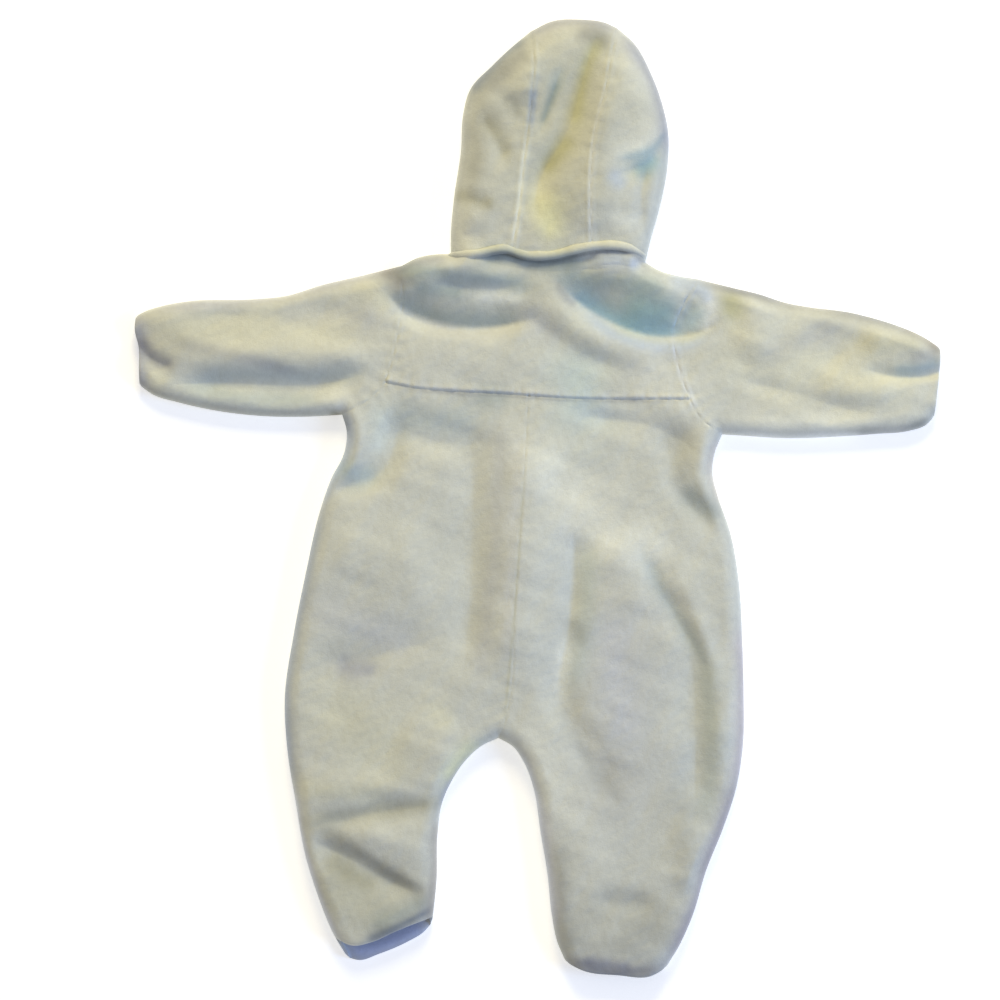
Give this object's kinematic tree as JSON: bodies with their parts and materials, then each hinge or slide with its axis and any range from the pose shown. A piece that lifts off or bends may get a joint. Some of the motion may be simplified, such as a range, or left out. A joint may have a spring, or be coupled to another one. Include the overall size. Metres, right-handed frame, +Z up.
{
  "type": "baby snowsuit",
  "caption": "Baby's hooded fleece all-in-one suit laid flat on its front, back up, with arms spread, a yoke, a panelled hood and a front zip.",
  "frame": {"origin": "on the floor under the middle of the garment's bounding box", "axes": "+Y up the garment towards the hood, +X towards the wearer's right sleeve, +Z up from the floor out of the garment's back"},
  "size_m": [0.6461, 0.7636, 0.0287],
  "materials": {
    "fleece": "cream fleece with a short matt pile",
    "zip_tape": "woven tape",
    "zip_teeth": "moulded teeth",
    "zip_metal": "satin"
  },
  "bodies": {
    "garment": {"back_yoke": "fleece", "back_left": "fleece", "back_right": "fleece", "sleeve_left": "fleece", "sleeve_right": "fleece", "neckband": "fleece", "hood_centre": "fleece", "hood_left": "fleece", "hood_right": "fleece", "hood_hem": "fleece", "front_left": "fleece", "front_right": "fleece", "zip_tape_left": "zip_tape", "zip_tape_right": "zip_tape", "zip_chain": "zip_teeth", "zip_slider": "zip_metal"},
    "pull_tab": {"zip_pull_tab": "zip_metal"}
  },
  "joints": [
    {"name": "pull_tab_hinge", "type": "hinge", "parent": "garment", "child": "pull_tab", "pos_m": [-0.002, 0.1577, 0.00125], "axis": [1, 0, 0], "range_deg": [0, 170]}
  ]
}
